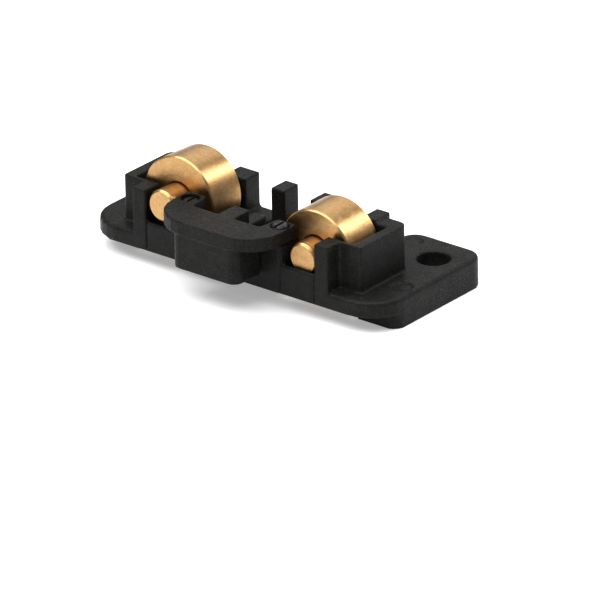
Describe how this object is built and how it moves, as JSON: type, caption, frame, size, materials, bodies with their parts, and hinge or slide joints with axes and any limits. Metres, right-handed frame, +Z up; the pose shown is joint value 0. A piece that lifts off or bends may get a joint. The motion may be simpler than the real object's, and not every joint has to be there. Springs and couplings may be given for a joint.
{
  "type": "sliding door roller",
  "caption": "Sliding door roller: brass wheels on pin axles floating in open slots of a moulded black housing, with a screwed front cap and drilled ears.",
  "frame": {"origin": "under the middle of the whole roller, on the plane that the base rests on", "axes": "+X along the track, +Y from the nosed side to the eared side, +Z up out of the base, towards the wheels"},
  "size_m": [0.0538, 0.0304, 0.0161],
  "materials": {
    "moulded_plastic": "fine mould texture, low sheen",
    "brass": "turned, satin",
    "blackened_steel": "black oxide"
  },
  "bodies": {
    "frame": {"housing": "moulded_plastic", "front_cap": "moulded_plastic", "left_cap_screw": "blackened_steel", "right_cap_screw": "blackened_steel"},
    "left_axle_body": {"left_axle": "brass"},
    "left_wheel_body": {"left_wheel": "brass"},
    "right_axle_body": {"right_axle": "brass"},
    "right_wheel_body": {"right_wheel": "brass"}
  },
  "joints": [
    {"name": "left_axle_float", "type": "slide", "parent": "frame", "child": "left_axle_body", "axis": [0, 0, 1], "range_m": [-0.00075, 0.0006]},
    {"name": "right_axle_float", "type": "slide", "parent": "frame", "child": "right_axle_body", "axis": [0, 0, 1], "range_m": [0, 0.002]},
    {"name": "left_wheel_spin", "type": "hinge", "parent": "left_axle_body", "child": "left_wheel_body", "pos_m": [-0.0124, -0.00195, 0.00965], "axis": [0, 0.9986, -0.0523], "continuous": true},
    {"name": "right_wheel_spin", "type": "hinge", "parent": "right_axle_body", "child": "right_wheel_body", "pos_m": [0.0126, -0.00195, 0.00825], "axis": [0, 1, 0], "continuous": true}
  ]
}
